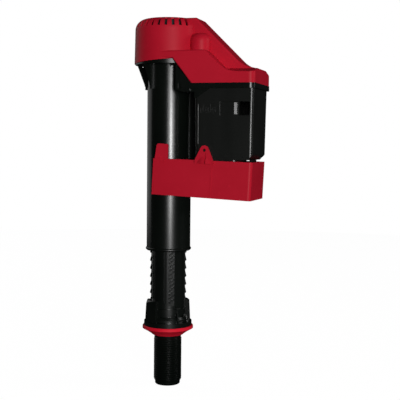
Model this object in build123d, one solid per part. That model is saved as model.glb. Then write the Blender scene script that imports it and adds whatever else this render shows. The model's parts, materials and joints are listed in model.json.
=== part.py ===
from build123d import *
import os
from math import asin, cos, degrees, radians, sin, sqrt, tan

# Toilet fill valve. Millimetres, +Z up along the riser's axis, +X towards the float.
# The origin is on that axis, in the plane where the flange meets its cone washer.

# ---- shank, flange and riser ----
SHANK_R = 11.1            # 7/8 in straight pipe thread, major radius
THREAD_PITCH = 25.4 / 14
THREAD_DEPTH = 0.6
THREAD_TOP = -9.6
THREAD_END = -44.8
NOSE_R = 10.0
RELIEF_R = 10.7           # plain neck between the thread and the flange
SHANK_END = -47.9
SHANK_BORE_R = 7.6
FLANGE_R = 19.1
FLANGE_TOP = 3.5
RISER_R = 13.15
RISER_TOP = 140.0
RISER_BORE_R = 11.6
RISER_BORE_FLOOR = 8.0
RAIL_ANGLES = (-60, 30, 120, 210)
RAIL_WIDTH = 4.7
RAIL_PROUD = 0.35
RAIL_START = 17.0
KEYWAY_OFFSET = 21         # degrees from the rail
TOOTH_PROUD = 1.3
TEETH = ((3.125, 1.2), (6.5, 1.7))     # pitch and height of a tooth, on alternate rails
TOOTH_SLANT = 38
LUG_ANGLES = (-137, 43)
LUG_SPAN = 60
LUG_TOP = 20.4
LUG_R_TOP = 18.9
LUG_R_FOOT = 19.9
RIB_ANGLES = (-43, 137)

# ---- cone washer ----
WASHER_R = 20.3
WASHER_RIM = 2.8
WASHER_DEPTH = 7.8
WASHER_NOSE_R = 12.2

# ---- outer tube ----
TUBE_R = 17.45
TUBE_WALL = 1.6
TUBE_BOTTOM = 62.8
TUBE_TOP = 188.7
RING_R = 18.1
RING_BOTTOM = 60.4
RING_BORE_R = 14.95
RUN_GAP = 0.05            # radial running clearance

# ---- valve body ----
NECK_R = 17.0
COLLAR_R = 27.0
COLLAR_BOTTOM = 206.4
COLLAR_TOP = 209.7
GUSSET_ANGLES = (180, -118, -42, 60, 118)
PIPE_R = 9.4
PIPE_BORE_R = 7.8
PIPE_BOTTOM = 76.0
SEAT_TOP = 206.0
CHAMBER_R = 18.5           # outside of the pressure chamber
SCREW_RING_R = 22.3
SCREW_ANGLES = (60, 180, 300)
CHAMBER_TOP = 219.0
FRAME_BOTTOM = 187.0
FRAME_TOP = 190.8
NIPPLE_Z = 198.0

# ---- cap ----
WALL = 1.5
DRUM_R = 27.7             # at the rim
DRUM_TOP_R = 27.0
CAP_TOP = 241.9
SHOULDER_R = 8.6
BRIDGE_HALF = 13.5
BRIDGE_TOP = 241.6
BRIDGE_SOFT = 1.5         # radius along the bridge's long edges
SKIRT_HALF = 26.8        # at the far end
SKIRT_END = 75.3
SKIRT_CORNER = 4.6
SKIRT_SOFT = 1.7          # radius along the S-curve, before the sides are trimmed
ROOF_EAVE = 198.4
ROOF_RIDGE = 202.4
ROOF_SOFT = 1.4
SHELF_Z = 215.6
BOSS_X = 29.2
BOSS_R = 8.2
BOSS_TOP = 229.6
SLOT_STEP = 12
SLOT_PHASE = 6
SLOT_WIDTH = 2.1
SLOT_LOW = 235.0
BAFFLE_R = (20.8, 21.8)
BAFFLE_LOW = 235.6

# ---- float ----
FLOAT_X0 = 27.4
FLOAT_X1 = 74.1
FLOAT_HALF = 22.6
FLOAT_TOP = 188.8
FLOAT_BOTTOM = 135.0
FLOAT_DRAFT = 0.8
FLOAT_CORNER = 2.6
FLOAT_WALL = 1.6
WINDOW_X = (47.4, 71.2)
WINDOW_Z = (166.7, 177.0)
SLIDER_X = (48.6, 61.4)
TRACK_DEPTH = 1.6
MOUTH_CORNER = 1.4
BEAD_X = 30.6
BEAD_LENGTH = 30.0
TRAY_DROP = 2.0            # how far the bottom tray hangs below the walls
GUIDE_HALF = 1.5
GUIDE_BOTTOM = 131.6

# ---- lever and float hanger, laid out at mid stroke ----
PIVOT_X = 14.0
PIVOT_Z = 227.0
HANG_X = 44.0
HANG_DROP = 16.0
HALF_LIFT = 2.75
PIN_R = 1.5
SLOT_HALF = 1.7           # the pin's travel along the fork's slot, each way
LEVER_WIDTH = 9.0

# ---- cup ----
CUP_X0 = -6.0
CUP_X1 = 72.7
CUP_HALF = 22.0
CUP_FLOOR = 105.4
CUP_RIM = 133.4
CUP_WALL = 1.8
CUP_TILT = 2.6
RIM_TILT = 1.0             # the rim climbs against the floor's tilt
CUP_CORNER = 2.6
CUP_PIVOT = (0, 0, 120)
STEP_X = 41.0             # moulded step line on the cup's side
EAR_X = 35.4
EAR_OUT = 22.45          # the ear stands clear of the float's side

LEVER_ARM = HANG_X - PIVOT_X
HALF_SWING = degrees(asin(HALF_LIFT / LEVER_ARM))
LOW_ALIGN = (Align.CENTER, Align.CENTER, Align.MIN)


# ---------------- helpers ----------------
def rod(radius, z0, z1, x=0, y=0):
    return Pos(x, y, z0) * Cylinder(radius, z1 - z0, align=LOW_ALIGN)


def pipe(outer, inner, z0, z1, x=0, y=0):
    return rod(outer, z0, z1, x, y) - rod(inner, z0, z1, x, y)


def block(x0, x1, y0, y1, z0, z1):
    return Pos((x0 + x1) / 2, (y0 + y1) / 2, (z0 + z1) / 2) * Box(x1 - x0, y1 - y0, z1 - z0)


def cross_pin(radius, x, z, y0, y1):
    return Pos(x, (y0 + y1) / 2, z) * Rot(90, 0, 0) * Cylinder(radius, y1 - y0)


def slab(outline, y0, y1):
    """A plate of the given side outline, from y0 to y1."""
    face = Pos(0, y1, 0) * (Plane.XZ * make_face(Polyline(*outline, close=True)))
    return extrude(face, amount=y1 - y0, dir=(0, -1, 0))


def turned(outline):
    """A solid of revolution about Z, from radius and height pairs."""
    return revolve(Plane.XZ * make_face(Polyline(*outline, close=True)), axis=Axis.Z)


def rounded_block(x0, x1, half, z0, z1, corner):
    outline = Pos((x0 + x1) / 2, 0, z0) * RectangleRounded(x1 - x0, 2 * half, corner)
    return extrude(outline, amount=z1 - z0)


def both_sides(part):
    return [part, mirror(part, about=Plane.XZ)]


def swing(part, angle):
    """Turn a lever part about the pivot; a positive angle raises the float end."""
    return part.rotate(Axis((PIVOT_X, 0, PIVOT_Z), (0, -1, 0)), angle)


def tilt(part):
    return part.rotate(Axis(CUP_PIVOT, (0, 1, 0)), CUP_TILT)


# ---------------- base ----------------
def shank_core():
    """Shank, flange and riser in one turned moulding, with rings of 60 degree thread grooves."""
    body = rod(NOSE_R, SHANK_END, THREAD_END) + rod(SHANK_R, THREAD_END, THREAD_TOP)
    body += rod(RELIEF_R, THREAD_TOP, 0)
    body = chamfer(body.edges().group_by(Axis.Z)[0], 0.6)
    body += rod(FLANGE_R, 0, FLANGE_TOP) + rod(RISER_R, 0, RISER_TOP)
    body += pipe(RISER_R + 1.2, RISER_R - 1, 10, 14.2) + turned(bulge_outline())
    body -= rod(SHANK_BORE_R, SHANK_END, RISER_BORE_FLOOR)
    return body - rod(RISER_BORE_R, RISER_BORE_FLOOR, RISER_TOP)


def bulge_outline():
    root, crest = RISER_R - 1, RISER_R + 2.6
    return [(root, FLANGE_TOP - 1), (crest, FLANGE_TOP - 1), (crest, 5.6), (crest - 1, 7.4), (root, 7.8)]


def thread_groove(z):
    half = THREAD_DEPTH * tan(radians(30)) + 0.12
    return turned([(SHANK_R + 0.3, z - half - 0.17), (SHANK_R + 0.3, z + half + 0.17),
                   (SHANK_R - THREAD_DEPTH, z + 0.12), (SHANK_R - THREAD_DEPTH, z - 0.12)])


def thread_grooves():
    turns = int((THREAD_TOP - THREAD_END) / THREAD_PITCH)
    return [thread_groove(THREAD_END + (turn + 0.6) * THREAD_PITCH) for turn in range(turns)]


def rail(angle, pitch, height):
    """One height rail: a low strip with slanted teeth of the given pitch and height."""
    strip = block(RISER_R - 1, RISER_R + RAIL_PROUD, -RAIL_WIDTH / 2, RAIL_WIDTH / 2,
                  RAIL_START, RISER_TOP - 2)
    tooth = Box(TOOTH_PROUD + 1, RAIL_WIDTH + 0.6, height)
    tooth = chamfer(tooth.edges().filter_by(Axis.Y).group_by(Axis.X)[-1], height / 3)
    tooth = Pos(RISER_R + (TOOTH_PROUD - 1) / 2, 0, 0) * Rot(TOOTH_SLANT, 0, 0) * tooth
    count = int((RISER_TOP - RAIL_START - 8) / pitch)
    teeth = [Pos(0, 0, RAIL_START + 4 + n * pitch) * tooth for n in range(count)]
    return Rot(0, 0, angle) * (strip + teeth)


def keyway(angle):
    """Shallow groove along the riser beside each rail."""
    return Rot(0, 0, angle - KEYWAY_OFFSET) * block(RISER_R - 0.6, RISER_R + 2, -1.1, 1.1,
                                                    RAIL_START + 2, RISER_TOP + 1)


def lug(angle):
    """A wrench lug: one corner of a tapered hexagon, with a chamfered top."""
    hexagon = loft([Pos(0, 0, FLANGE_TOP - 1) * RegularPolygon(LUG_R_FOOT, 6),
                    Pos(0, 0, LUG_TOP) * RegularPolygon(LUG_R_TOP, 6)])
    reach = LUG_R_FOOT / cos(radians(LUG_SPAN / 2)) + 2
    side = reach * tan(radians(LUG_SPAN / 2))
    wedge = extrude(make_face(Polyline((0, 0), (reach, -side), (reach, side), close=True)), amount=LUG_TOP)
    crown = turned([(0, 0), (LUG_R_FOOT + 1, 0), (LUG_R_FOOT + 1, LUG_TOP - 3.4),
                    (LUG_R_TOP - 2.4, LUG_TOP), (0, LUG_TOP)])
    return Rot(0, 0, angle) * (hexagon & wedge & crown - rod(RISER_R - 1, 0, LUG_TOP + 1))


def collar_rib(angle):
    rib = slab([(RISER_R - 1, FLANGE_TOP - 1), (FLANGE_R - 0.8, FLANGE_TOP - 1), (RISER_R + 1.6, 15.5),
                (RISER_R - 1, 16.5)], -0.6, 0.6)
    return Rot(0, 0, angle) * rib


def shank_riser():
    body = shank_core() - thread_grooves() - [keyway(angle) for angle in RAIL_ANGLES]
    body += [rail(angle, *TEETH[n % 2]) for n, angle in enumerate(RAIL_ANGLES)]
    body += [lug(angle) for angle in LUG_ANGLES]
    return body + [collar_rib(angle) for angle in RIB_ANGLES]


def cone_washer():
    hole = SHANK_R + 0.1
    return turned([(hole, 0), (WASHER_R - 0.5, 0), (WASHER_R, -0.6), (WASHER_R, -WASHER_RIM + 0.4),
                   (WASHER_R - 0.7, -WASHER_RIM), (WASHER_R - 3.4, -WASHER_RIM - 1.5),
                   (WASHER_NOSE_R + 1.3, -WASHER_DEPTH + 1.2), (WASHER_NOSE_R + 0.3, -WASHER_DEPTH + 0.3),
                   (WASHER_NOSE_R - 0.2, -WASHER_DEPTH), (hole, -WASHER_DEPTH)])


def inlet_screen():
    """Basket strainer pushed up into the shank's mouth."""
    radius = SHANK_BORE_R
    basket = rod(radius - 1.2, -44.8, -24) - rod(radius - 2.2, -44.8, -25)
    slots = [Rot(0, 0, 30 * n) * block(3, radius, -0.6, 0.6, z, z + 5)
             for n in range(12) for z in (-42, -35)]
    return basket - slots + pipe(radius, radius - 2.2, SHANK_END + 0.3, -44.6)


# ---------------- height ring and outer tube ----------------
def height_ring():
    """Rolled rim that runs on the rails and carries the swivelling tube on its spigot."""
    spigot = TUBE_R - TUBE_WALL - RUN_GAP
    return turned([(RING_BORE_R, RING_BOTTOM), (RING_R - 0.9, RING_BOTTOM), (RING_R, RING_BOTTOM + 0.9),
                   (RING_R, TUBE_BOTTOM - 0.6), (RING_R - 0.4, TUBE_BOTTOM - RUN_GAP),
                   (spigot, TUBE_BOTTOM - RUN_GAP), (spigot, TUBE_BOTTOM + 6),
                   (RING_BORE_R, TUBE_BOTTOM + 6)])


def outer_tube():
    return pipe(TUBE_R, TUBE_R - TUBE_WALL, TUBE_BOTTOM, TUBE_TOP)


# ---------------- valve body ----------------
def neck():
    body = pipe(NECK_R, PIPE_R, TUBE_TOP, COLLAR_BOTTOM)
    body -= pipe(NECK_R - 2, PIPE_R + 2, TUBE_TOP, COLLAR_BOTTOM - 3)
    spigot = TUBE_R - TUBE_WALL
    body += pipe(spigot, spigot - 1.6, TUBE_TOP - 9, TUBE_TOP + 2)
    return body + pipe(COLLAR_R, PIPE_R, COLLAR_BOTTOM, COLLAR_TOP)


def gusset(angle):
    """A thin triangular web from the neck out to the collar, with a small foot."""
    web = slab([(NECK_R - 0.5, 190.0), (20.6, 190.0), (20.9, 191.5), (COLLAR_R - 0.3, 206.2),
                (COLLAR_R - 0.3, COLLAR_BOTTOM + 0.5), (NECK_R - 0.5, COLLAR_BOTTOM + 0.5)], -0.7, 0.7)
    foot = block(NECK_R - 0.5, 20.2, -0.7, 0.7, 187.4, 190.2)
    foot -= rod(TUBE_R + 0.02, 187, TUBE_TOP)
    return Rot(0, 0, angle) * (web + foot)


def frame_lip():
    """The lip that surrounds the top of the float and closes the cap's lower edge."""
    ring = rounded_block(14, SKIRT_END + 0.3, SKIRT_HALF, FRAME_BOTTOM, FRAME_TOP, SKIRT_CORNER)
    opening = rounded_block(26.2, FLOAT_X1 + 0.4, FLOAT_HALF + 0.5, FRAME_BOTTOM - 1, FRAME_TOP + 1,
                            FLOAT_CORNER)
    return ring - opening - rod(NECK_R - 1, FRAME_BOTTOM - 1, FRAME_TOP + 1) \
        - rod(TUBE_R + 0.02, FRAME_BOTTOM - 1, TUBE_TOP)


def cheek():
    """Side wall from the neck to the lip, with the web that overlaps the float's corner."""
    wall = slab([(13.2, 186), (19.6, 184.2), (28.6, 184.2), (28.6, FRAME_BOTTOM + 1), (26.4, FRAME_TOP - 0.5),
                 (13.2, 205.2)], 23.4, 24.9)
    web = slab([(28.4, FRAME_BOTTOM + 0.5), (28.4, 179.6), (29.4, 179.6), (42, 188.0)], 23.4, 24.9)
    pivot = cross_pin(2.0, 23.5, 186.0, 23.6, 26.2)
    return wall + web + fillet(pivot.edges(), 0.4)


def bulkhead():
    """Cross wall that ties both cheeks to the neck and the collar."""
    wall = block(13.2, 14.8, -24.9, 24.9, FRAME_BOTTOM - 1, COLLAR_BOTTOM - 1.8)
    tie = block(8, 14.8, -22.5, 22.5, COLLAR_BOTTOM - 1.8, COLLAR_BOTTOM + 0.5)
    return wall + tie - rod(NECK_R - 0.5, 180, 210) - rod(TUBE_R + 0.02, 180, TUBE_TOP)


def guide_rail():
    """Fin down the tube's float side that keeps the float from turning."""
    fin = block(TUBE_R + 0.02, 25.8, -GUIDE_HALF, GUIDE_HALF, GUIDE_BOTTOM, FRAME_BOTTOM + 1)
    head = block(25.4, FLOAT_X0 - 0.4, -5, 5, GUIDE_BOTTOM, FRAME_BOTTOM + 1)
    return fin + head


def refill_nipple():
    """Hose barb for the refill tube, on the side away from the float's window."""
    axis = Pos(0, NECK_R - 1, NIPPLE_Z) * Rot(-90, 0, 0)
    barbs = [Pos(0, 0, 6 + 3 * n) * Cone(3.6, 2.8, 2.6, align=LOW_ALIGN) for n in range(3)]
    stem = Cylinder(2.8, 15, align=LOW_ALIGN)
    return axis * (stem + barbs)


def valve_body():
    body = neck() + [gusset(angle) for angle in GUSSET_ANGLES]
    body += [frame_lip(), guide_rail(), bulkhead()]
    body += both_sides(cheek())
    body += refill_nipple()
    body -= Pos(0, NECK_R - 4, NIPPLE_Z) * Rot(-90, 0, 0) * Cylinder(1.7, 30, align=LOW_ALIGN)
    body += pipe(PIPE_R + 3.0, PIPE_R, COLLAR_BOTTOM - 2, COLLAR_TOP)
    return body - screw_ring(1.2, COLLAR_BOTTOM - 1, COLLAR_TOP + 2)


def screw_ring(radius, z0, z1):
    """Rods at the cover's three screw places."""
    return [Rot(0, 0, angle) * rod(radius, z0, z1, SCREW_RING_R, 0) for angle in SCREW_ANGLES]


def supply_pipe():
    """Inner pipe from the riser's bore to the valve seat; it telescopes in the riser."""
    body = pipe(PIPE_R, PIPE_BORE_R, PIPE_BOTTOM, SEAT_TOP + 3)
    body += [pipe(RISER_BORE_R - 0.3, PIPE_BORE_R + 0.8, z, z + 1.2)
             for z in (PIPE_BOTTOM, PIPE_BOTTOM + 4, PIPE_BOTTOM + 8)]
    return body


def pipe_seals():
    """Two seal rings in the pipe's grooves."""
    return [pipe(RISER_BORE_R - RUN_GAP, PIPE_R, z + 1.3, z + 3.9)
            for z in (PIPE_BOTTOM, PIPE_BOTTOM + 4)]


def neck_seal():
    """Ring between the outer tube's top bore and the neck's spigot."""
    spigot = TUBE_R - TUBE_WALL - 1.6
    return pipe(spigot, spigot - 1.2, TUBE_TOP - 8, TUBE_TOP - 5.6)


def seat_insert():
    rim = PIPE_R - 0.05
    return turned([(5.0, SEAT_TOP + 3), (rim, SEAT_TOP + 3), (rim, SEAT_TOP + 4), (6.4, SEAT_TOP + 4),
                   (6.0, SEAT_TOP + 4.8), (5.0, SEAT_TOP + 4.8)])


# ---------------- diaphragm valve ----------------
def diaphragm():
    """Rubber ring clamped at its rim; its centre hole carries the poppet."""
    z = SEAT_TOP + 5.2
    return turned([(7.1, z), (12, z), (13.2, z + 0.9), (CHAMBER_R - 1.4, z + 0.9), (CHAMBER_R - 1.4, z + 2.6),
                   (14.4, z + 2.6), (13, z + 1.6), (7.1, z + 1.6)])


def poppet():
    """Insert through the diaphragm that opens and shuts the seat."""
    z = SEAT_TOP + 8.3
    top = turned([(1.4, z), (9.6, z), (10, z + 0.5), (10, z + 1.4), (4, z + 1.8), (1.4, z + 1.8)])
    stem = pipe(7.05, 4.6, SEAT_TOP + 6.4, z + 0.6)
    return top + stem


def poppet_face():
    """Rubber face that closes on the seat."""
    z = SEAT_TOP + 6.4
    return pipe(7.0, 1.4, z - 0.5, z)


def chamber_cover():
    """Cover of the pressure chamber, with the pilot orifice and the lever's two bearing ears."""
    outer, inner = CHAMBER_R, CHAMBER_R - 1.4
    floor, roof = COLLAR_TOP, CHAMBER_TOP
    shell = turned([(inner, floor), (outer + 2, floor), (outer + 2, floor + 1.2), (outer, floor + 1.2),
                    (outer, roof - 1.5), (outer - 1.5, roof), (2.6, roof), (2.2, roof + 2.6),
                    (0.6, roof + 2.6), (0.6, roof - 1.6), (inner - 2, roof - 1.6),
                    (inner - 0.6, SEAT_TOP + 7.9), (inner, SEAT_TOP + 7.9)])
    ear = slab([(PIVOT_X - 4, roof - 1), (PIVOT_X + 3, roof - 1), (PIVOT_X + 2.6, PIVOT_Z + 2),
                (PIVOT_X, PIVOT_Z + 3), (PIVOT_X - 2.6, PIVOT_Z + 2)],
               LEVER_WIDTH / 2 + 0.4, LEVER_WIDTH / 2 + 2.6)
    shell += screw_ring(3, floor, floor + 2.6)
    shell += both_sides(ear)
    shell -= cross_pin(PIN_R, PIVOT_X, PIVOT_Z, -10, 10)
    return shell - screw_ring(1.3, floor - 1, floor + 3)


def cover_screws():
    """Three pan-head screws that hold the cover down."""
    z = COLLAR_TOP + 2.6
    x = SCREW_RING_R
    screw = rod(1.2, COLLAR_BOTTOM + 0.2, z, x, 0)
    head = fillet(rod(2.4, z, z + 1.6, x, 0).edges().group_by(Axis.Z)[-1], 0.7)
    head -= block(x - 1.6, x + 1.6, -0.3, 0.3, z + 0.9, z + 2)
    head -= block(x - 0.3, x + 0.3, -1.6, 1.6, z + 0.9, z + 2)
    return [Rot(0, 0, angle) * (screw + head) for angle in SCREW_ANGLES]


# ---------------- lever ----------------
def float_lever():
    """Cranked lever: pad holder over the pilot, bearing at the pivot, slotted fork at the float."""
    drop_z = PIVOT_Z - HANG_DROP
    arm = slab([(-4.5, PIVOT_Z - 1), (-4.5, PIVOT_Z + 2.4), (18, PIVOT_Z + 3.2), (HANG_X + 3.2, drop_z + 2.3),
                (HANG_X + 4.9, drop_z + 0.4), (HANG_X + 4.9, drop_z - 3.2), (HANG_X - 5.4, drop_z - 3.2),
                (18, PIVOT_Z - 3.4),
                (9, PIVOT_Z - 3.2), (6, PIVOT_Z - 1)], -LEVER_WIDTH / 2, LEVER_WIDTH / 2)
    holder = rod(3.6, PIVOT_Z - 3.2, PIVOT_Z + 2)
    arm += swing(holder, -HALF_SWING)
    arm -= block(HANG_X - 10, HANG_X + 14, -1.9, 1.9, drop_z - 12, drop_z + 20)
    arm -= cross_pin(PIN_R + RUN_GAP, PIVOT_X, PIVOT_Z, -10, 10)
    slot = block(HANG_X - SLOT_HALF, HANG_X + SLOT_HALF, -6, 6, drop_z - PIN_R - 0.2, drop_z + PIN_R + 0.2)
    slot += [cross_pin(PIN_R + 0.2, HANG_X + side * SLOT_HALF, drop_z, -6, 6) for side in (-1, 1)]
    arm -= slot
    arm -= swing(rod(2.42, PIVOT_Z - 3.3, PIVOT_Z - 1.4), -HALF_SWING)
    return swing(arm, -HALF_SWING)


def pilot_pad():
    """Rubber pad that shuts the pilot orifice when the float is up."""
    return swing(rod(2.4, CHAMBER_TOP + 2.65, PIVOT_Z - 1.4), -2 * HALF_SWING)


def lever_pin():
    return cross_pin(PIN_R, PIVOT_X, PIVOT_Z, -LEVER_WIDTH / 2 - 2.8, LEVER_WIDTH / 2 + 2.8)


# ---------------- cap ----------------
def skirt_outline(inset):
    """Side outline of the float cover; the inset form runs out through the open underside."""
    top = SHELF_Z - inset
    slope = 0.4 * inset
    lower = [(11.2, COLLAR_TOP), (26.2, FRAME_TOP)] if inset == 0 else [(2, FRAME_TOP - 2)]
    low = lower[-1][1]
    return ([(2, COLLAR_TOP)] + lower + [(SKIRT_END, low), (SKIRT_END, 199.0 - inset), (67.2, 199.2 - inset)],
            [(67.2, 199.2 - inset), (60.7, 199.5 - inset), (53 - slope, 201.3 - inset),
             (46.2 - slope, 206.4 - inset), (40.8 - slope, 211.9 - inset), (36.6 - slope, top)],
            [(36.6 - slope, top), (2, top), (2, COLLAR_TOP)])


def profile(low, curve, back):
    """A side face from a polyline, a smooth curve and a closing polyline."""
    edges = [Polyline(*low), Spline(*curve), Polyline(*back)]
    return Plane.XZ * make_face(Curve() + edges)


def skirt_form(inset):
    """Float cover: side outline with its S-curve, its top edges softened outside."""
    face = Pos(0, DRUM_R, 0) * profile(*skirt_outline(inset))
    body = extrude(face, amount=2 * DRUM_R, dir=(0, -1, 0))
    if inset == 0:
        crest = [e for e in body.edges().filter_by(Axis.Y, reverse=True)
                 if e.center().Z > 197 and e.center().X > 3]
        body = fillet(crest, SKIRT_SOFT)
    return body & skirt_plan(inset)


def skirt_plan(inset):
    """Plan of the float cover: tangent to the drum, a little narrower at the rounded far end."""
    near, far, end = DRUM_R - inset, SKIRT_HALF - inset, SKIRT_END - 0.65 * inset
    plan = extrude(make_face(Polyline((0, -near), (end, -far), (end, far), (0, near), close=True)), amount=60)
    corners = plan.edges().filter_by(Axis.Z).group_by(Axis.X)[-1]
    return Pos(0, 0, 180) * fillet(corners, SKIRT_CORNER - inset)


def roof_form(inset):
    """The far end's low hipped roof, which rises from both sides to the foot of the bridge."""
    low = FRAME_TOP if inset == 0 else FRAME_TOP - 2
    eave, ridge = ROOF_EAVE - inset, ROOF_RIDGE - inset
    face = make_face(Polyline((-30, low), (-30, eave), (-BRIDGE_HALF, ridge), (BRIDGE_HALF, ridge),
                              (30, eave), (30, low), close=True))
    body = extrude(Pos(50, 0, 0) * (Plane.YZ * face), amount=SKIRT_END - 50) & skirt_plan(inset)
    if inset == 0:
        far = [e for e in body.edges()
               if e.center().X > SKIRT_END - SKIRT_CORNER and e.center().Z > ROOF_EAVE]
        body = fillet(far, ROOF_SOFT)
    return body


def bridge_form(inset):
    """The sloping bridge from the drum down onto the float cover."""
    top = BRIDGE_TOP - inset
    slope = 0.4 * inset
    base = COLLAR_TOP + 0.4
    end = SKIRT_END - 2 - inset
    foot = (58.2 - slope, 209.3 - inset)
    tail = (end, ROOF_RIDGE + 0.05 - inset)
    face = profile([(40, 196), (26, base), (0, base), (0, top), (25.5 - slope, top), foot],
                   [foot, (61.5 - slope, 206.7 - inset), (66.4 - slope, 204.3 - inset), tail],
                   [tail, (end, 196), (40, 196)])
    body = extrude(Pos(0, BRIDGE_HALF - inset, 0) * face, amount=2 * (BRIDGE_HALF - inset), dir=(0, -1, 0))
    edges = [e for e in body.edges().filter_by(Axis.Y, reverse=True)
             if abs(e.center().Y) > BRIDGE_HALF - inset - 0.1 and 1 < e.center().X < 66
             and e.center().Z > SHELF_Z - 10]
    return fillet(edges, BRIDGE_SOFT - inset / 2)


def drum_form(inset):
    """The drum, drawn in slightly towards its rounded shoulder."""
    drum = Pos(0, 0, COLLAR_TOP) * Cone(DRUM_R - inset, DRUM_TOP_R - inset, CAP_TOP - inset - COLLAR_TOP,
                                        align=LOW_ALIGN)
    return fillet(drum.edges().group_by(Axis.Z)[-1], SHOULDER_R - inset)


def boss_form(inset):
    boss = rod(BOSS_R - inset, SHELF_Z - 6, BOSS_TOP - inset, BOSS_X, 1 - BRIDGE_HALF)
    boss = fillet(boss.edges().group_by(Axis.Z)[-1], 6.0 - inset)
    return both_sides(boss)


def cap_form(inset):
    body = drum_form(inset) + skirt_form(inset) + roof_form(inset) + bridge_form(inset)
    return body + boss_form(inset)


def vent_slots():
    """Radial vents round the drum's shoulder, none where the bridge leaves it."""
    slot = block(DRUM_R - 7.4, DRUM_R + 2, -SLOT_WIDTH / 2, SLOT_WIDTH / 2, SLOT_LOW, CAP_TOP + 2)
    angles = [SLOT_PHASE + n * SLOT_STEP for n in range(int(360 / SLOT_STEP))]
    return [Rot(0, 0, a) * slot for a in angles if 36 < a < 324]


def collar_lip():
    """Thin slanted rim that laps over the collar's edge, deepest on the side away from the float."""
    rim = pipe(DRUM_R, COLLAR_R + RUN_GAP, COLLAR_BOTTOM, COLLAR_TOP + 0.3)
    above = slab([(-40, 206.2), (20, 210.4), (20, 220), (-40, 220)], -40, 40)
    return rim & above & block(-40, 11, -40, 40, 190, 220)


def cap():
    return cap_form(0) - cap_form(WALL) - vent_slots() + collar_lip()


def vent_baffle():
    """Dark ring held under the cap's shoulder, which keeps spray off the vents."""
    def ceiling(radius):
        """Height of the cap's inner shoulder, less a small clearance."""
        soft = SHOULDER_R - WALL
        return CAP_TOP - WALL - soft + sqrt(soft ** 2 - (radius - DRUM_TOP_R + SHOULDER_R) ** 2) - RUN_GAP
    inner, outer = BAFFLE_R
    return turned([(inner, BAFFLE_LOW), (outer, BAFFLE_LOW), (outer, ceiling(outer)),
                   (inner, ceiling(inner))])


# ---------------- float ----------------
def float_box(inset, z0, z1):
    """The float's drafted box between two heights."""
    def section(z):
        shrink = inset + FLOAT_DRAFT * (FLOAT_TOP - z) / (FLOAT_TOP - FLOAT_BOTTOM)
        length = FLOAT_X1 - FLOAT_X0 - 2 * shrink
        centre = (FLOAT_X1 + FLOAT_X0) / 2
        return Pos(centre, 0, z) * RectangleRounded(length, 2 * (FLOAT_HALF - shrink), FLOAT_CORNER - inset)
    return loft([section(z0), section(z1)])


def graduation():
    """Raised level ticks on the near wall, and the bead down its left side."""
    ticks = [block(29.6 + 1.3 * n, 30.0 + 1.3 * n, -FLOAT_HALF - 0.05, -FLOAT_HALF + 0.8, 168.8,
                   172.4 + 3 * (n % 4 == 0)) for n in range(2, 12)]
    draft = degrees(FLOAT_DRAFT / (FLOAT_TOP - FLOAT_BOTTOM))
    bead = Pos(BEAD_X, -FLOAT_HALF + 0.85, 160) * Rot(draft, 0, 0) * Cylinder(0.7, BEAD_LENGTH)
    return ticks + [bead]


def float_shell():
    shell = float_box(0, FLOAT_BOTTOM, FLOAT_TOP)
    shell = fillet(shell.edges().group_by(Axis.Z)[-1], 1.6)
    shell = shell - float_box(FLOAT_WALL, FLOAT_BOTTOM - 1, FLOAT_TOP - FLOAT_WALL) - end_chamfer()
    channel = block(FLOAT_X0 - 2, FLOAT_X0 + 0.2, -GUIDE_HALF - 0.4, GUIDE_HALF + 0.4, 130, 190)
    track = block(*WINDOW_X, -FLOAT_HALF - 1, -FLOAT_HALF + TRACK_DEPTH, *WINDOW_Z)
    mouth = block(62.6, WINDOW_X[1], -FLOAT_HALF - 1, -FLOAT_HALF + 3, *WINDOW_Z)
    track, mouth = (fillet(cut.edges().filter_by(Axis.Y).group_by(Axis.X)[-1], MOUTH_CORNER)
                    for cut in (track, mouth))
    shell = shell - channel - track - mouth
    return shell + graduation() + window_back()


def end_chamfer():
    """The slanted cut under the float's far end."""
    low = FLOAT_BOTTOM - TRAY_DROP
    return slab([(69.4, low), (76, low), (76, low + 7.3)], -30, 30)


def window_back():
    """Backing plate that closes the slider's track behind the window."""
    face = -FLOAT_HALF + TRACK_DEPTH
    plate = block(WINDOW_X[0] - 1.5, WINDOW_X[1] + 0.6, face, face + 1.4, WINDOW_Z[0] - 1.5, WINDOW_Z[1] + 1.5)
    return plate - block(62.6, WINDOW_X[1] - 0.6, -FLOAT_HALF, -FLOAT_HALF + 4, *WINDOW_Z)


def float_base():
    """Bottom closure with the narrower block and the foot that hang into the cup."""
    low = FLOAT_BOTTOM
    tray = float_box(FLOAT_WALL + 0.05, low - TRAY_DROP, low + 2.4) - end_chamfer()
    tray -= rounded_block(31, 67, 18.4, low - 0.4, low + 3, 2)
    ballast = rounded_block(29.4, 60.3, 16.5, low - 12.5, low - 1, 4)
    ballast -= rounded_block(31, 58.7, 14.9, low - 10.9, low - 2, 2.4)
    foot = block(67.0, 69.2, -5, 9, low - 10, low - 1)
    return tray + ballast + foot


def float_hanger():
    """Post on the float's top that hangs on the lever's fork."""
    pin_z = hang_pin_z()
    foot = rounded_block(HANG_X - 8, HANG_X + 8, 7, FLOAT_TOP, FLOAT_TOP + 1.6, 2)
    post = slab([(HANG_X - 4, FLOAT_TOP), (HANG_X + 4, FLOAT_TOP), (HANG_X + 2.6, pin_z + 1.6),
                 (HANG_X + 1.2, pin_z + 2.8), (HANG_X - 1.2, pin_z + 2.8), (HANG_X - 2.6, pin_z + 1.6)], -1.5, 1.5)
    webs = both_sides(slab([(HANG_X - 0.7, FLOAT_TOP), (HANG_X + 0.7, FLOAT_TOP), (HANG_X + 0.7, 198),
                            (HANG_X - 0.7, 198)], 1.4, 5))
    return foot + post + webs - cross_pin(PIN_R, HANG_X, pin_z, -3, 3)


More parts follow.
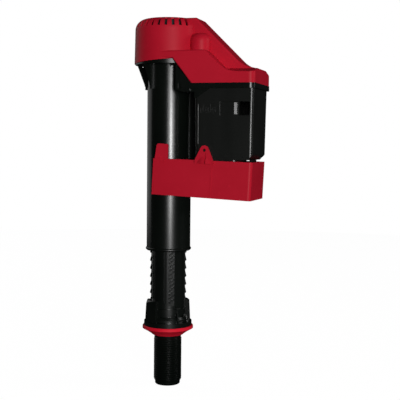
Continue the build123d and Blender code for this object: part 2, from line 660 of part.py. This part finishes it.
def hang_pin_z():
    """Height of the hanger pin at rest, where the lever's lowered slot crosses the post's line."""
    swing_angle = radians(HALF_SWING)
    slot_x = PIVOT_X + LEVER_ARM * cos(swing_angle) - HANG_DROP * sin(swing_angle)
    slot_z = PIVOT_Z - HANG_DROP * cos(swing_angle) - LEVER_ARM * sin(swing_angle)
    return slot_z - (HANG_X - slot_x) * tan(swing_angle)


def hanger_pin():
    return cross_pin(PIN_R, HANG_X, hang_pin_z(), -LEVER_WIDTH / 2 - 0.6, LEVER_WIDTH / 2 + 0.6)


def level_slider():
    """Tongue in the float's window track, with a grip bar at its end."""
    y_face = -FLOAT_HALF + TRACK_DEPTH - RUN_GAP
    tongue = block(*SLIDER_X, y_face - 0.9, y_face, WINDOW_Z[0] + 1.2, WINDOW_Z[1] - 0.6)
    left, right = SLIDER_X[1] - 2.4, SLIDER_X[1]
    bar = make_face(Polyline((left, y_face - 0.5), (left, y_face - 1.5), (right, y_face - 0.8),
                             (right, y_face - 0.5), close=True))
    bar = Pos(0, 0, WINDOW_Z[0] + 0.8) * extrude(bar, amount=WINDOW_Z[1] - WINDOW_Z[0] - 1.6)
    return tongue + bar


# ---------------- cup ----------------
def cup_shell():
    top = CUP_RIM + 2
    body = rounded_block(CUP_X0, CUP_X1, CUP_HALF, CUP_FLOOR, top, CUP_CORNER)
    body += block(CUP_X0, 20, -CUP_HALF, CUP_HALF, CUP_FLOOR, top)
    inner = rounded_block(CUP_X0 + CUP_WALL, CUP_X1 - CUP_WALL, CUP_HALF - CUP_WALL,
                          CUP_FLOOR + CUP_WALL, top + 1, CUP_CORNER - 1)
    return body - inner + rod(TUBE_R + 1.9, CUP_FLOOR, top) - above_rim()


def above_rim():
    """Everything above the rim, which climbs a little along the cup."""
    low, high = (CUP_RIM + x * tan(radians(RIM_TILT)) for x in (-40, 80))
    return slab([(-40, low), (80, high), (80, CUP_RIM + 20), (-40, CUP_RIM + 20)], -40, 40)


def finger_tab():
    tab = slab([(-5.2, CUP_RIM - 3), (6.0, CUP_RIM - 3), (5.6, CUP_RIM + 10.8), (4.8, CUP_RIM + 11.6),
                (-2.6, CUP_RIM + 11.6), (-3.8, CUP_RIM + 10)], -CUP_HALF, -CUP_HALF + 1.6)
    bead = block(-5.6, 3.6, -CUP_HALF - 0.9, -CUP_HALF + 0.4, CUP_RIM - 2.6, CUP_RIM - 1.2)
    step = block(-4.6, 0.2, -CUP_HALF - 0.6, -CUP_HALF + 0.4, CUP_RIM + 0.2, CUP_RIM + 1.6)
    return tab + bead + step


def ear():
    """Ear with an eyelet and the fluted half-cone below it."""
    z = CUP_RIM
    plate = slab([(EAR_X - 7.4, z - 2), (EAR_X + 7.4, z - 2), (EAR_X + 7.0, z + 1.5), (EAR_X + 3.4, z + 9.4),
                  (EAR_X + 2.2, z + 11.4), (EAR_X, z + 12.2), (EAR_X - 2.2, z + 11.4), (EAR_X - 3.4, z + 9.4),
                  (EAR_X - 7.0, z + 1.5)], -EAR_OUT - 1.5, -CUP_HALF + 0.5)
    cone = Pos(EAR_X, -CUP_HALF + 4.0, z - 1.6) * Cone(8.2, 3.6, 11, align=LOW_ALIGN)
    cone &= block(EAR_X - 6.6, EAR_X + 6.6, -CUP_HALF - 6, -CUP_HALF + 1, z - 3, z + 12)
    slit = block(EAR_X + 0.9, EAR_X + 1.5, -CUP_HALF - 6, -CUP_HALF - 1.0, z - 4, z + 6)
    relief = block(EAR_X - 10, EAR_X + 10, -EAR_OUT, -CUP_HALF + 2, z + 0.2, z + 14)
    return plate + cone - slit - relief - cross_pin(1.2, EAR_X, z + 8.4, -CUP_HALF - 5, -CUP_HALF + 5)


def drain_holes():
    return [rod(1.5, CUP_FLOOR - 1, CUP_FLOOR + 4, x, 0) for x in (44, 56)]


def cup():
    body = cup_shell() + ear() + both_sides(finger_tab()) - drain_holes()
    body += block(STEP_X - 0.3, STEP_X + 0.3, -CUP_HALF - 0.3, -CUP_HALF + 0.5, CUP_FLOOR + 1, CUP_RIM - 3)
    grip = rod(TUBE_R + RUN_GAP, 80, 160)
    mouth = block(-40, CUP_X0 + 0.001, -40, 40, 80, 160) + block(-30, -2, -15.6, 15.6, 80, 160)
    notch = block(TUBE_R, TUBE_R + 3, -GUIDE_HALF - 0.4, GUIDE_HALF + 0.4, GUIDE_BOTTOM - 0.6, CUP_RIM + 4)
    return tilt(body) - grip - tilt(mouth) - notch


# ---------------- assembly ----------------
NODES = {
    "shank_riser": shank_riser,
    "cone_washer": cone_washer,
    "inlet_screen": inlet_screen,
    "height_ring": height_ring,
    "outer_tube": outer_tube,
    "valve_body": valve_body,
    "supply_pipe": supply_pipe,
    "pipe_seals": pipe_seals,
    "neck_seal": neck_seal,
    "seat_insert": seat_insert,
    "diaphragm": diaphragm,
    "poppet": poppet,
    "poppet_face": poppet_face,
    "chamber_cover": chamber_cover,
    "cover_screws": cover_screws,
    "float_lever": float_lever,
    "pilot_pad": pilot_pad,
    "lever_pin": lever_pin,
    "cap": cap,
    "vent_baffle": vent_baffle,
    "float_shell": float_shell,
    "float_base": float_base,
    "float_hanger": float_hanger,
    "hanger_pin": hanger_pin,
    "level_slider": level_slider,
    "cup": cup,
}

os.makedirs("parts", exist_ok=True)
for node, make in NODES.items():
    shape = make()
    if isinstance(shape, list):
        shape = Compound(children=shape)
    export_step(shape, f"parts/{node}.step")
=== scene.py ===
import json
from math import cos, hypot, pi, radians, sin

import bmesh
import bpy
from mathutils import Matrix, Vector


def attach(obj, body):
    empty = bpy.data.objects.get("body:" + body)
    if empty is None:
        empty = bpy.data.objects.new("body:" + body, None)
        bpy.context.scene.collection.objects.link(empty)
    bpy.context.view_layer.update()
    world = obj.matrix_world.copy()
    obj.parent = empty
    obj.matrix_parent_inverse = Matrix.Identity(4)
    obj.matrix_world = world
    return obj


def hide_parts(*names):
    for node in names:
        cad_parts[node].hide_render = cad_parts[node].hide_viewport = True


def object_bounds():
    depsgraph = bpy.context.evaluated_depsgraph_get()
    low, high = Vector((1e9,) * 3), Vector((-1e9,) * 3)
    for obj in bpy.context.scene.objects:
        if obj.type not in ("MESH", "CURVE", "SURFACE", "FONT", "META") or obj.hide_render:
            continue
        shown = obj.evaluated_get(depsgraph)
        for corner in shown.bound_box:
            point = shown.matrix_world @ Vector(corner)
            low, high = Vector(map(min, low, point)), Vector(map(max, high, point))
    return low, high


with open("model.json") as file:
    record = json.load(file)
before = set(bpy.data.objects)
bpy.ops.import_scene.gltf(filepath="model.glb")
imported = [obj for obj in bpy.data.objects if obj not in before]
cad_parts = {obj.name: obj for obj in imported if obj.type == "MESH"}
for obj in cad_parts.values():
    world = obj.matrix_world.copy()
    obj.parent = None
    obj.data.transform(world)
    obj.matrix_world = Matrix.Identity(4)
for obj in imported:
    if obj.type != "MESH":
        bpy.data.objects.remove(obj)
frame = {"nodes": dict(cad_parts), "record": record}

cad_low, cad_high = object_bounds()

MM = 0.001
NODES = frame["nodes"]
THREAD_LOW, THREAD_HIGH = -44.8, -9.6           # the shank's threaded length, mm


# ---------------- material building blocks ----------------
MIX_FIRST, MIX_SECOND, MIX_RESULT = 6, 7, 2     # the colour sockets of a Mix node
SOFT, MEDIUM, RICH, CRISP = 2, 3, 4, 5          # a noise texture's detail, in octaves
EVEN, PATCHY = 0.55, 0.7                        # a noise texture's roughness
FULL = (0.0, 1.0)


class Shader:
    """A small helper that adds nodes to one material and links them."""

    def __init__(self, name):
        self.material = bpy.data.materials.new(name)
        self.material.use_nodes = True
        self.tree = self.material.node_tree
        self.tree.nodes.clear()
        self.out = self.add("ShaderNodeOutputMaterial")
        self.coords = self.add("ShaderNodeTexCoord").outputs["Object"]

    def add(self, kind, **values):
        node = self.tree.nodes.new(kind)
        for key, value in values.items():
            setattr(node, key, value)
        return node

    def link(self, source, target):
        self.tree.links.new(source, target)

    def noise(self, scale, detail, roughness=EVEN, coords=None):
        """A noise texture; the scale is in waves per metre."""
        node = self.add("ShaderNodeTexNoise")
        node.inputs["Scale"].default_value = scale
        node.inputs["Detail"].default_value = detail
        node.inputs["Roughness"].default_value = roughness
        self.link(coords or self.coords, node.inputs["Vector"])
        return node.outputs["Fac"]

    def stretched(self, scale):
        """Object coordinates scaled by axis, for drawn-out marks."""
        node = self.add("ShaderNodeMapping")
        node.inputs["Scale"].default_value = scale
        self.link(self.coords, node.inputs["Vector"])
        return node.outputs["Vector"]

    def remap(self, value, span, to_span):
        node = self.add("ShaderNodeMapRange")
        for socket, number in zip(("From Min", "From Max", "To Min", "To Max"), (*span, *to_span)):
            node.inputs[socket].default_value = number
        self.link(value, node.inputs["Value"])
        return node.outputs["Result"]

    def mix(self, factor, first, second):
        node = self.add("ShaderNodeMix", data_type="RGBA")
        self.link(factor, node.inputs["Factor"])
        for socket, colour in ((node.inputs[MIX_FIRST], first), (node.inputs[MIX_SECOND], second)):
            if isinstance(colour, tuple):
                socket.default_value = (*colour, 1.0)
            else:
                self.link(colour, socket)
        return node.outputs[MIX_RESULT]

    def bump(self, height, strength, depth, normal=None):
        node = self.add("ShaderNodeBump")
        node.inputs["Strength"].default_value = strength
        node.inputs["Distance"].default_value = depth
        self.link(height, node.inputs["Height"])
        if normal is not None:
            self.link(normal, node.inputs["Normal"])
        return node.outputs["Normal"]

    def surface(self, colour, roughness, normal, **values):
        """Give the material its surface, and return the surface's node."""
        shader = self.add("ShaderNodeBsdfPrincipled")
        for key, value in values.items():
            shader.inputs[key.replace("_", " ")].default_value = value
        self.link(colour, shader.inputs["Base Color"])
        self.link(roughness, shader.inputs["Roughness"])
        self.link(normal, shader.inputs["Normal"])
        self.link(shader.outputs["BSDF"], self.out.inputs["Surface"])
        return shader


def paler(colour, gain, lift):
    return tuple(min(1.0, channel * gain + lift) for channel in colour)


# ---------------- materials ----------------
# spans of a noise texture's value, from 0 to 1
WIDE_SPAN = (0.3, 0.7)
CLOUD_SPAN = (0.35, 0.65)
SCUFF_SPAN = (0.62, 0.74)                       # only the noise's peaks, so scuffs are sparse
DUST_SPAN = (0.6, 0.72)

# noise scales, in waves per metre
PLASTIC_CLOUDS, PLASTIC_FLOW, PLASTIC_SCUFFS = 28, 40, 260
PLASTIC_WAVES, PLASTIC_GRAIN = 55, 3600
RUBBER_CLOUDS, RUBBER_DUST, RUBBER_SHEEN, RUBBER_GRAIN = 60, 700, 120, 1800
STEEL_STREAKS, STEEL_SHEEN = 900, 300
PAPER_TONE, PAPER_SHEEN, PAPER_GRAIN = 3, 40, 600

# how far marks are drawn out, by axis
FLOW_STRETCH = (1.0, 1.0, 0.12)
STREAK_STRETCH = (1.0, 0.08, 1.0)

# how much of the paler colour shows, and how much paler it is
SCUFF_SHARE, SCUFF_GAIN, SCUFF_LIFT = 0.35, 1.35, 0.012
DUST_SHARE, DUST_GAIN, DUST_LIFT = 0.3, 1.25, 0.01

# bumps: strength and depth in metres
PLASTIC_GRAIN_BUMP = (0.35, 0.00002)
PLASTIC_WAVE_BUMP = (0.25, 0.00012)
RUBBER_BUMP = (0.4, 0.00003)
STEEL_BUMP = (0.3, 0.00002)
PAPER_BUMP = (0.2, 0.00005)

# roughness from and to, gloss levels and tones
RUBBER_ROUGH, RUBBER_LEVEL = (0.42, 0.62), 0.2
STEEL_ROUGH = (0.22, 0.4)
STEEL_DARK, STEEL_LIGHT = (0.50, 0.50, 0.51), (0.72, 0.72, 0.73)
PAPER_ROUGH = (0.85, 0.95)
PAPER_DARK, PAPER_LIGHT = (0.04, 0.04, 0.04), (0.05, 0.05, 0.05)
PAPER_GLOW = 0.98


def moulded_plastic(name, dark, light, rough_span, level=0.5, level_below=None):
    """Injection-moulded plastic: cloudy tone, flow marks, fine spark-eroded grain and scuffs.

    Under the flange, where the thread is, its gloss may fall to level_below.
    """
    s = Shader(name)
    cloud = s.remap(s.noise(PLASTIC_CLOUDS, RICH), WIDE_SPAN, FULL)
    flow = s.noise(PLASTIC_FLOW, MEDIUM, coords=s.stretched(FLOW_STRETCH))
    colour = s.mix(cloud, dark, light)
    scuffs = s.remap(s.noise(PLASTIC_SCUFFS, CRISP, PATCHY), SCUFF_SPAN, (0.0, SCUFF_SHARE))
    colour = s.mix(scuffs, colour, paler(light, SCUFF_GAIN, SCUFF_LIFT))
    rough = s.remap(flow, WIDE_SPAN, rough_span)
    fine = s.bump(s.noise(PLASTIC_GRAIN, SOFT), *PLASTIC_GRAIN_BUMP)
    normal = s.bump(s.noise(PLASTIC_WAVES, SOFT), *PLASTIC_WAVE_BUMP, fine)
    shader = s.surface(colour, rough, normal, Specular_IOR_Level=level)
    if level_below is not None:
        split = s.add("ShaderNodeSeparateXYZ")
        s.link(s.coords, split.inputs["Vector"])
        gloss = s.remap(split.outputs["Z"], (THREAD_HIGH * MM, 0.0), (level_below, level))
        s.link(gloss, shader.inputs["Specular IOR Level"])
    return s.material


def soft_rubber(name, dark, light):
    """Moulded rubber: cloudy tone under a thin, patchy dust."""
    s = Shader(name)
    cloud = s.remap(s.noise(RUBBER_CLOUDS, RICH), CLOUD_SPAN, FULL)
    dust = s.remap(s.noise(RUBBER_DUST, CRISP, PATCHY), DUST_SPAN, (0.0, DUST_SHARE))
    colour = s.mix(dust, s.mix(cloud, dark, light), paler(light, DUST_GAIN, DUST_LIFT))
    rough = s.remap(s.noise(RUBBER_SHEEN, MEDIUM), WIDE_SPAN, RUBBER_ROUGH)
    normal = s.bump(s.noise(RUBBER_GRAIN, MEDIUM), *RUBBER_BUMP)
    s.surface(colour, rough, normal, Specular_IOR_Level=RUBBER_LEVEL)
    return s.material


def drawn_steel(name):
    """Bright steel with streaks along Y, the pins' axis."""
    s = Shader(name)
    streak = s.noise(STEEL_STREAKS, MEDIUM, coords=s.stretched(STREAK_STRETCH))
    colour = s.mix(s.remap(streak, WIDE_SPAN, FULL), STEEL_DARK, STEEL_LIGHT)
    rough = s.remap(s.noise(STEEL_SHEEN, MEDIUM), WIDE_SPAN, STEEL_ROUGH)
    s.surface(colour, rough, s.bump(streak, *STEEL_BUMP), Metallic=1.0)
    return s.material


def studio_paper(name):
    """Pale sweep: evenly back-lit to the eye, dim to the object above it."""
    s = Shader(name)
    tone = s.mix(s.noise(PAPER_TONE, MEDIUM), PAPER_DARK, PAPER_LIGHT)
    rough = s.remap(s.noise(PAPER_SHEEN, MEDIUM), WIDE_SPAN, PAPER_ROUGH)
    paper = s.surface(tone, rough, s.bump(s.noise(PAPER_GRAIN, MEDIUM), *PAPER_BUMP)).outputs["BSDF"]
    glow = s.add("ShaderNodeEmission")
    glow.inputs["Strength"].default_value = PAPER_GLOW
    both = s.add("ShaderNodeAddShader")
    s.link(paper, both.inputs[0])
    s.link(glow.outputs["Emission"], both.inputs[1])
    pick = s.add("ShaderNodeMixShader")
    s.link(s.add("ShaderNodeLightPath").outputs["Is Camera Ray"], pick.inputs["Fac"])
    s.link(paper, pick.inputs[1])
    s.link(both.outputs["Shader"], pick.inputs[2])
    s.link(pick.outputs["Shader"], s.out.inputs["Surface"])
    return s.material


# each material's dark and light tone, then a plastic's roughness from and to
MATERIALS = {
    "black_plastic": moulded_plastic("black_plastic", (0.0025, 0.0038, 0.003), (0.0045, 0.0065, 0.005),
                                     (0.19, 0.28), level_below=0.1),
    "float_plastic": moulded_plastic("float_plastic", (0.004, 0.005, 0.0042), (0.007, 0.008, 0.0068),
                                     (0.26, 0.36)),
    "red_plastic": moulded_plastic("red_plastic", (0.57, 0.009, 0.027), (0.64, 0.012, 0.034),
                                   (0.38, 0.48), level=0.12),
    "red_rubber": soft_rubber("red_rubber", (0.86, 0.010, 0.034), (0.94, 0.014, 0.042)),
    "black_rubber": soft_rubber("black_rubber", (0.006, 0.006, 0.006), (0.010, 0.010, 0.010)),
    "white_plastic": moulded_plastic("white_plastic", (0.66, 0.66, 0.62), (0.74, 0.74, 0.70), (0.3, 0.45)),
    "grey_plastic": moulded_plastic("grey_plastic", (0.10, 0.105, 0.11), (0.13, 0.135, 0.14), (0.3, 0.45)),
    "steel": drawn_steel("steel"),
}


def dress(obj, slot):
    obj.data.materials.clear()
    obj.data.materials.append(MATERIALS[slot])


def dress_cad_nodes():
    for part in frame["record"]["subparts"]:
        dress(NODES[part["node"]], part["material_slot"])


# ---------------- the shank's screw thread, in mm ----------------
THREAD_PITCH = 25.4 / 14
THREAD_R = 11.08
THREAD_ROOT = 10.45
THREAD_FADE = 1.2                               # length over which each end runs out
FLANK_END, FLANK_SHARE = 0.95, 0.45             # parts of half a pitch: where a flank ends, its width
CORE_R = 10.3
RELIEF_LIMIT = 10.8                             # at the thread's top, smaller radii are the plain relief
SLEEVE_DEPTH = 0.4                              # how far the sleeve reaches into the core
END_REACH, CORE_REACH, TOP_REACH = 0.01, 0.02, 0.05      # margins that tell the grooves' points from others
COLUMNS = 96
ROWS_PER_TURN = 14


def thread_radius(height, turn):
    """Radius of the thread's surface: flat crest, sloping flanks, narrow root, faded ends."""
    phase = ((height - THREAD_LOW) / THREAD_PITCH - turn) % 1.0
    away = abs(phase - 0.5) * 2                 # 0 at the crest, 1 at the root
    rise = min(1.0, max(0.0, (FLANK_END - away) / FLANK_SHARE))
    ends = min(height - THREAD_LOW, THREAD_HIGH - height)
    fade = min(1.0, max(0.0, ends / THREAD_FADE))
    return THREAD_ROOT + (THREAD_R - THREAD_ROOT) * rise * fade


def is_thread(radius, z):
    """Whether a point of the riser lies on its ring grooves."""
    along = THREAD_LOW - END_REACH < z < THREAD_HIGH + END_REACH
    below_top = z < THREAD_HIGH - TOP_REACH
    return along and radius > CORE_R + CORE_REACH and (below_top or radius > RELIEF_LIMIT)


def turned_down_copy(node, name):
    """A copy of the riser whose thread zone is turned down to the core."""
    mesh = NODES[node].data.copy()
    mesh.name = name
    for vertex in mesh.vertices:
        x, y, z = vertex.co / MM
        radius = hypot(x, y)
        if is_thread(radius, z):
            vertex.co.x *= CORE_R / radius
            vertex.co.y *= CORE_R / radius
    return mesh


def add_thread():
    """A sleeve with a true right-hand helix, joined over the core, in place of the ring grooves."""
    mesh = turned_down_copy("shank_riser", "riser_with_thread")
    bm = bmesh.new()
    bm.from_mesh(mesh)
    rows = int((THREAD_HIGH - THREAD_LOW) / THREAD_PITCH * ROWS_PER_TURN)
    heights = [THREAD_LOW + (THREAD_HIGH - THREAD_LOW) * row / rows for row in range(rows + 1)]

    def ring(height, radius_at):
        loop = []
        for column in range(COLUMNS):
            angle = 2 * pi * column / COLUMNS
            radius = radius_at(height, column / COLUMNS)
            loop.append(bm.verts.new((radius * cos(angle) * MM, radius * sin(angle) * MM, height * MM)))
        return loop

    outer = [ring(height, thread_radius) for height in heights]
    inner = [ring(height, lambda *_: CORE_R - SLEEVE_DEPTH) for height in (THREAD_HIGH, THREAD_LOW)]
    loops = outer + inner
    for first, second in zip(loops, loops[1:] + loops[:1]):
        for column in range(COLUMNS):
            after = (column + 1) % COLUMNS
            face = bm.faces.new((first[column], first[after], second[after], second[column]))
            face.smooth = True
    bm.to_mesh(mesh)
    bm.free()
    riser = bpy.data.objects.new("riser_with_thread", mesh)
    bpy.context.collection.objects.link(riser)
    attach(riser, "base")
    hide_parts("shank_riser")
    return riser


# ---------------- camera, floor and light ----------------
CAMERA_AZIMUTH = 16.94                          # angles in degrees, lens and sensor in mm
CAMERA_PITCH = 3.59
CAMERA_ROLL = 0.55
CAMERA_DISTANCE = 704.3 * MM
CAMERA_LENS = 79.4
CAMERA_SENSOR = 36
CAMERA_NEAR = 0.01
AIM_RIGHT = 24.95 * MM
AIM_HEIGHT = 100.3 * MM
ROOM_LEVEL = 0.012
FLOOR_RADIUS = 1.3
FLOOR_SIDES = 128
FLOOR_GAP = 0.0005                              # between the shank's nose and the paper
LIGHT_AIM_X = 0.02


def add_camera():
    azimuth, pitch = radians(CAMERA_AZIMUTH), radians(CAMERA_PITCH)
    right = Vector((cos(azimuth), sin(azimuth), 0))
    back = Vector((sin(azimuth) * cos(pitch), -cos(azimuth) * cos(pitch), sin(pitch)))
    up = back.cross(right)
    place = right * AIM_RIGHT + Vector((0, 0, AIM_HEIGHT)) + back * CAMERA_DISTANCE
    axes = Matrix((right, up, back)).transposed().to_4x4()
    camera = bpy.data.objects.new("camera", bpy.data.cameras.new("camera"))
    camera.data.lens = CAMERA_LENS
    camera.data.sensor_width = CAMERA_SENSOR
    camera.data.clip_start = CAMERA_NEAR
    camera.matrix_world = Matrix.Translation(place) @ axes @ Matrix.Rotation(radians(CAMERA_ROLL), 4, "Z")
    bpy.context.collection.objects.link(camera)
    bpy.context.scene.camera = camera


def add_floor():
    """A wide disc of pale studio paper under the shank's nose."""
    mesh = bpy.data.meshes.new("floor")
    bm = bmesh.new()
    bmesh.ops.create_circle(bm, cap_ends=True, segments=FLOOR_SIDES, radius=FLOOR_RADIUS)
    bmesh.ops.translate(bm, verts=bm.verts, vec=(0, 0, cad_low[2] - FLOOR_GAP))
    bm.to_mesh(mesh)
    bm.free()
    mesh.materials.append(studio_paper("studio_paper"))
    floor = bpy.data.objects.new("floor", mesh)
    bpy.context.collection.objects.link(floor)


def add_light(name, azimuth, distance, height, size, power, aim_height=0.1):
    """A rectangular soft box turned to the object, in metres; azimuth 0 is on -Y, 90 degrees on +X."""
    angle = radians(azimuth)
    place = Vector((distance * sin(angle), -distance * cos(angle), height))
    light = bpy.data.lights.new(name, "AREA")
    light.shape = "RECTANGLE"
    light.size, light.size_y = size
    light.energy = power
    holder = bpy.data.objects.new(name, light)
    holder.location = place
    aim = Vector((LIGHT_AIM_X, 0, aim_height)) - place
    holder.rotation_euler = aim.to_track_quat("-Z", "Y").to_euler()
    bpy.context.collection.objects.link(holder)


def add_lights():
    add_light("key", azimuth=28, distance=1.29, height=0.13, size=(0.17, 0.16), power=5.0, aim_height=0.13)
    add_light("key_wide", azimuth=28, distance=1.31, height=0.20, size=(0.75, 0.28), power=4.3,
              aim_height=0.14)
    add_light("fill", azimuth=40, distance=1.2, height=0.85, size=(0.6, 0.4), power=0.8)
    add_light("rim_left", azimuth=-112, distance=1.4, height=0.5, size=(1.4, 1.4), power=2.8)
    add_light("rim_right", azimuth=100, distance=1.4, height=0.6, size=(0.6, 0.5), power=3.4, aim_height=0.2)
    add_light("top", azimuth=150, distance=0.6, height=2.2, size=(1.6, 1.6), power=0.5)


def add_world():
    """White to the eye, dim to the object, as in a studio with a lit sweep and dark walls."""
    world = bpy.data.worlds.new("studio")
    world.use_nodes = True
    tree = world.node_tree
    tree.nodes.clear()
    dim, lit = (tree.nodes.new("ShaderNodeBackground") for _ in range(2))
    dim.inputs["Strength"].default_value = ROOM_LEVEL
    lit.inputs["Strength"].default_value = 1.0
    for background in (dim, lit):
        background.inputs["Color"].default_value = (1.0, 1.0, 1.0, 1.0)
    pick = tree.nodes.new("ShaderNodeMixShader")
    tree.links.new(tree.nodes.new("ShaderNodeLightPath").outputs["Is Camera Ray"], pick.inputs["Fac"])
    tree.links.new(dim.outputs["Background"], pick.inputs[1])
    tree.links.new(lit.outputs["Background"], pick.inputs[2])
    tree.links.new(pick.outputs["Shader"], tree.nodes.new("ShaderNodeOutputWorld").inputs["Surface"])
    bpy.context.scene.world = world
    bpy.context.scene.view_settings.view_transform = "Standard"


add_camera()
add_floor()
add_lights()
add_world()
dress_cad_nodes()
dress(add_thread(), "black_plastic")
